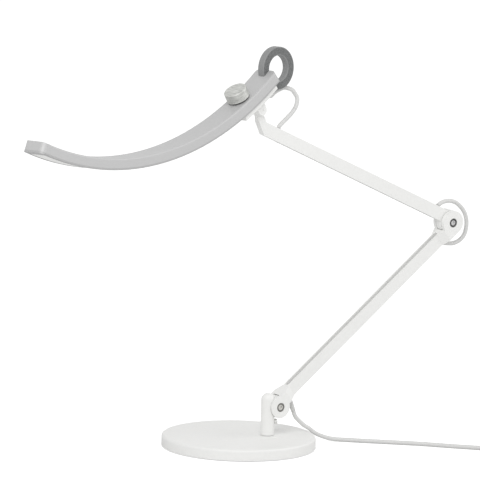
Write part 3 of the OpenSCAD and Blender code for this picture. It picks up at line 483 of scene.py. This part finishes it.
def screw_mat(name, origin, turn, face, rim, r_face, r_rim, rough=0.3):
    """Turned steel screw head: bright face, its rounded edge painted dark as painted shade of the recess round
    it, fine rings from the lathe.
    """
    g = Graph(name)
    g.bs.inputs["Metallic"].default_value = 0.85
    x, y, z = g.local(origin, turn)
    r = g.radius(x, y)
    edge = r_face / RAMP_LONG
    # beyond r_face the colour ramps to rim: painted shade of the counterbore, laid on the head's edge
    stops = [(edge - 0.02, face), (edge + 0.05, rim), (r_rim / RAMP_LONG, rim)]
    tone = g.ramp(g.noise(900.0), [(LOW_FAC, grey(0.86)), (HIGH_FAC, grey(1.0))])
    col = g.ramp(g.math("DIVIDE", r, RAMP_LONG * MM), stops)
    g.join(g.mix(1.0, col, tone, "MULTIPLY"), g.bs.inputs["Base Color"])
    gloss = g.span(g.noise(500.0), LOW_FAC, HIGH_FAC, rough - 0.08, rough + 0.08)
    g.join(gloss, g.bs.inputs["Roughness"])
    g.bump(g.math("SINE", g.math("MULTIPLY", r, LATHE_RINGS)), 0.12, 0.05)
    return g.m


def dial_mat(name, origin, turn, radius, low):
    """Brushed dial: streaks round its side and across its top, a painted highlight along its lower edge."""
    g = Graph(name)
    g.bs.inputs["Metallic"].default_value = 0.55
    x, y, z = g.local(origin, turn)
    r = g.radius(x, y)
    ang = g.math("MULTIPLY", g.math("ARCTAN2", y, x), radius * MM)
    side = g.noise(950.0, g.vector(g.math("MULTIPLY", ang, 0.09), z, r), detail=4.0, rough=0.7)
    top = g.noise(900.0, g.vector(x, g.math("MULTIPLY", y, 0.12), z), detail=4.0, rough=0.7)
    on_side = g.span(r, (radius - 1.3) * MM, (radius - 0.6) * MM)
    on_top = g.math("SUBTRACT", 1.0, on_side)
    streak = g.math("ADD", g.math("MULTIPLY", side, on_side), g.math("MULTIPLY", top, on_top))
    tones = [(LOW_FAC, (0.38, 0.385, 0.37)), (0.5, (0.56, 0.565, 0.54)), (HIGH_FAC, (0.76, 0.765, 0.74))]
    # painted highlight: near the underside the colour turns bright, while the gloss stays that of the streaks
    edge = g.span(z, (low + 0.7) * MM, (low + 2.0) * MM, 1.0, 0.0)
    g.join(g.mix(edge, g.ramp(streak, tones), (0.88, 0.88, 0.86)), g.bs.inputs["Base Color"])
    g.join(g.span(streak, LOW_FAC, HIGH_FAC, 0.5, 0.34), g.bs.inputs["Roughness"])
    g.bump(streak, 0.25, 0.06)
    return g.m


# the dial's seat on the head and its axes; its underside is DIAL_GAP up
KNOB_REACH, DIAL_R, DIAL_GAP = 19.4, 16.0, 2.6
DIAL, DIAL_TURN = on_arc(-math.degrees(KNOB_REACH / HEAD_R), HEAD_R)
ACROSS = np.array([[1, 0, 0], [0, 0, -1], [0, 1, 0]], float)
WHITE = (0.86, 0.86, 0.845)
SILVER = dict(rough=0.46, metal=0.12, grain=1400, bump=0.25, bump_scale=1500, spread=0.05, cloud=0.008)
# painted shade for the screw heads' edges: dark for the elbow's, less dark for the pivot's
DARK_RIM_SHADE, PALE_RIM_SHADE = (0.1, 0.1, 0.1), (0.24, 0.235, 0.22)

M = {
    "white": mat("white_paint", WHITE, 0.42, bump=0.25, bump_scale=900, spread=0.012, cloud=0.006),
    "base": mat("base_paint", WHITE, 0.5, bump=0.35, bump_scale=1100, spread=0.015, cloud=0.006),
    "silver": mat("silver_paint", grey(0.535), **SILVER),
    # the frame's grey is darker than the housing's silver: painted shade for the shade on its far edge and
    # underside
    "frame": mat("frame_grey_and_painted_shade", grey(0.45), **SILVER),
    "steel": mat("steel", grey(0.5), 0.32, 0.9, bump=0.1, spread=0.06),
    "zinc": mat("zinc_bright", (0.72, 0.72, 0.71), 0.3, 0.7, bump=0.1, spread=0.05),
    "pin": mat("pin_end", (0.8, 0.8, 0.785), 0.4, 0.1, bump=0.1, spread=0.02),
    "dark": mat("dark_plastic", (0.012, 0.012, 0.013), 0.55, bump=0.3, spread=0.1),
    "tie": mat("tie_plastic", (0.035, 0.035, 0.037), 0.45, bump=0.2, bump_scale=900, spread=0.1),
    "rubber": mat("rubber", grey(0.02), 0.8, bump=0.4, spread=0.1),
    "sheath": mat("cable_sheath", (0.68, 0.68, 0.67), 0.46, bump=0.15, bump_scale=700, spread=0.03),
    "milk": mat("diffuser_milk", (0.9, 0.9, 0.885), 0.4, bump=0.2, bump_scale=1200, spread=0.01),
    "knob": dial_mat("dial_alloy", DIAL, DIAL_TURN, DIAL_R, DIAL_GAP),
    "ring": mat("ring_grey", (0.268, 0.272, 0.272), 0.5, grain=1500, bump=0.4, bump_scale=1500, spread=0.12),
    "ring_face": mat("ring_dark", (0.15, 0.154, 0.154), 0.62, grain=620, bump=0.6, bump_scale=900, spread=0.42),
    "pcb": mat("board", (0.03, 0.14, 0.07), 0.4, spread=0.1),
    "pcb_white": mat("led_board_white", (0.8, 0.8, 0.78), 0.45, spread=0.02),
    "chip": mat("led_yellow", (0.85, 0.66, 0.2), 0.35, spread=0.04),
    "brass": mat("plug_brass", (0.72, 0.56, 0.28), 0.25, 1.0, spread=0.04),
    "iron": mat("weight_iron", (0.14, 0.14, 0.145), 0.6, 0.6, bump=0.6, bump_scale=300, spread=0.15),
    "plug": mat("plug_white", (0.8, 0.8, 0.785), 0.3, bump=0.1, spread=0.012, coat=0.3),
    "pivot_head": screw_mat("pivot_head", PIVOT, LOW @ ACROSS, (0.74, 0.73, 0.7), PALE_RIM_SHADE, 3.5, 5.6),
    "elbow_head": screw_mat("elbow_head", ELBOW, UPP @ ACROSS, grey(0.76), DARK_RIM_SHADE, 3.2, 5.6),
}

USES = {
    "white": ["post", "post_collar", "lower_arm", "upper_arm", "tilt_knuckle", "head_saddle"],
    "base": ["base_cover"],
    "silver": ["head_housing", "ring_keeper", "heat_spreader"],
    "frame": ["head_frame"],
    "steel": [
        "base_plate", "base_screws", "post_bolt", "post_washer", "pivot_nut", "elbow_nut", "neck_grub_screw",
        "saddle_screws", "frame_screws",
    ],
    "zinc": ["stop_screw"],
    "pin": ["tilt_pin"],
    "pivot_head": ["pivot_screw"],
    "elbow_head": ["elbow_screw"],
    "tie": ["coil_tie"],
    # dial_collar and dial_stem's skirt are dark plastic, made black as painted shade for the gap under the dial
    "dark": [
        "dial_encoder", "dial_collar", "dial_stem", "pivot_washers", "elbow_washers", "tilt_washers",
        "swivel_sleeve",
    ],
    "rubber": ["foot_pad"],
    "sheath": ["lower_cable", "upper_cable", "head_inner_cable"],
    "milk": ["diffuser"],
    "knob": ["dial_knob"],
    "ring": ["grab_ring"],
    "ring_face": ["ring_inlays"],
    "pcb": ["control_board"],
    "pcb_white": ["led_board"],
    "chip": ["led_chips"],
    "brass": ["plug_pins"],
    "iron": ["base_weight"],
    "plug": ["plug_body"],
}


def dress(ob, key):
    ob.data.materials.clear()
    ob.data.materials.append(M[key])


for key, names in USES.items():
    for n in names:
        dress(nodes[n], key)
for ob in (lead, relief, elbow_loop, head_loop_a, head_loop_b):
    dress(ob, "sheath")

# ---------------------------------------------------------------- riding
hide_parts("lead", "lead_coil", "lead_tail")
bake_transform(lead)
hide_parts("lead_relief")
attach(relief, "lower_arm")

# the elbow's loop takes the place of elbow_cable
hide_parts("elbow_cable")
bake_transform(elbow_loop)

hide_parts("head_side_cable")
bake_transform(head_loop_a)
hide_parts("arm_side_cable")
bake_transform(head_loop_b)

metres(lead_path)
metres(elbow_path)
metres(whole[: cut + 1])
metres(whole[cut:][::-1])


# ---------------------------------------------------------------- floor, light
FLOOR_HALF, FLOOR_Z = 12.0, -0.0002
FLOOR_TONE, FLOOR_SEEN = 0.86, 0.5  # its own colour, and what the camera sees it brighter by
WORLD_LIGHT, WORLD_SEEN = 0.62, 1.0


def empty_tree(owner):
    """What makes a node in owner's emptied node tree, and what links two sockets there."""
    owner.use_nodes = True
    owner.node_tree.nodes.clear()
    return owner.node_tree.nodes.new, owner.node_tree.links.new


def make_floor():
    """Pale floor that the camera sees as white and that keeps the lamp's shadow."""
    me = bpy.data.meshes.new("floor")
    corners = [(x * FLOOR_HALF, y * FLOOR_HALF, FLOOR_Z) for x, y in ((-1, -1), (1, -1), (1, 1), (-1, 1))]
    me.from_pydata(corners, [], [(0, 1, 2, 3)])
    floor = bpy.data.objects.new("floor", me)
    bpy.context.collection.objects.link(floor)
    m = bpy.data.materials.new("floor")
    add, join = empty_tree(m)
    out = add("ShaderNodeOutputMaterial")
    plain = add("ShaderNodeBsdfDiffuse")
    plain.inputs[0].default_value = grey(FLOOR_TONE) + (1,)
    glow = add("ShaderNodeEmission")
    glow.inputs[0].default_value = (1, 1, 1, 1)
    glow.inputs[1].default_value = FLOOR_SEEN
    ray = add("ShaderNodeLightPath")
    both = add("ShaderNodeAddShader")
    choose = add("ShaderNodeMixShader")
    join(plain.outputs[0], both.inputs[0])
    join(glow.outputs[0], both.inputs[1])
    join(ray.outputs["Is Camera Ray"], choose.inputs[0])
    join(plain.outputs[0], choose.inputs[1])
    join(both.outputs[0], choose.inputs[2])
    join(choose.outputs[0], out.inputs[0])
    me.materials.append(m)


def make_world():
    """Even light all round; the camera, gloss and glass see it as white."""
    world = bpy.data.worlds.new("world")
    bpy.context.scene.world = world
    add, join = empty_tree(world)
    out = add("ShaderNodeOutputWorld")
    light, seen = add("ShaderNodeBackground"), add("ShaderNodeBackground")
    for node, strength in ((light, WORLD_LIGHT), (seen, WORLD_SEEN)):
        node.inputs[0].default_value = (1, 1, 1, 1)
        node.inputs[1].default_value = strength
    ray = add("ShaderNodeLightPath")
    either, any_of = add("ShaderNodeMath"), add("ShaderNodeMath")
    either.operation = any_of.operation = "MAXIMUM"
    choose = add("ShaderNodeMixShader")
    join(ray.outputs["Is Camera Ray"], either.inputs[0])
    join(ray.outputs["Is Glossy Ray"], either.inputs[1])
    join(either.outputs[0], any_of.inputs[0])
    join(ray.outputs["Is Transmission Ray"], any_of.inputs[1])
    join(any_of.outputs[0], choose.inputs[0])
    join(light.outputs[0], choose.inputs[1])
    join(seen.outputs[0], choose.inputs[2])
    join(choose.outputs[0], out.inputs[0])


def area(name, pos, aim, size, watts):
    data = bpy.data.lights.new(name, "AREA")
    data.size = size
    data.energy = watts
    lamp = bpy.data.objects.new(name, data)
    bpy.context.collection.objects.link(lamp)
    lamp.location = pos
    lamp.rotation_euler = (Vector(aim) - Vector(pos)).to_track_quat("-Z", "Y").to_euler()


make_floor()
make_world()
area("key", (-1.9, -1.9, 2.5), (0.05, 0, 0.2), size=2.2, watts=50)
area("fill", (2.2, -1.4, 1.4), (0.05, 0, 0.3), size=2.0, watts=14)
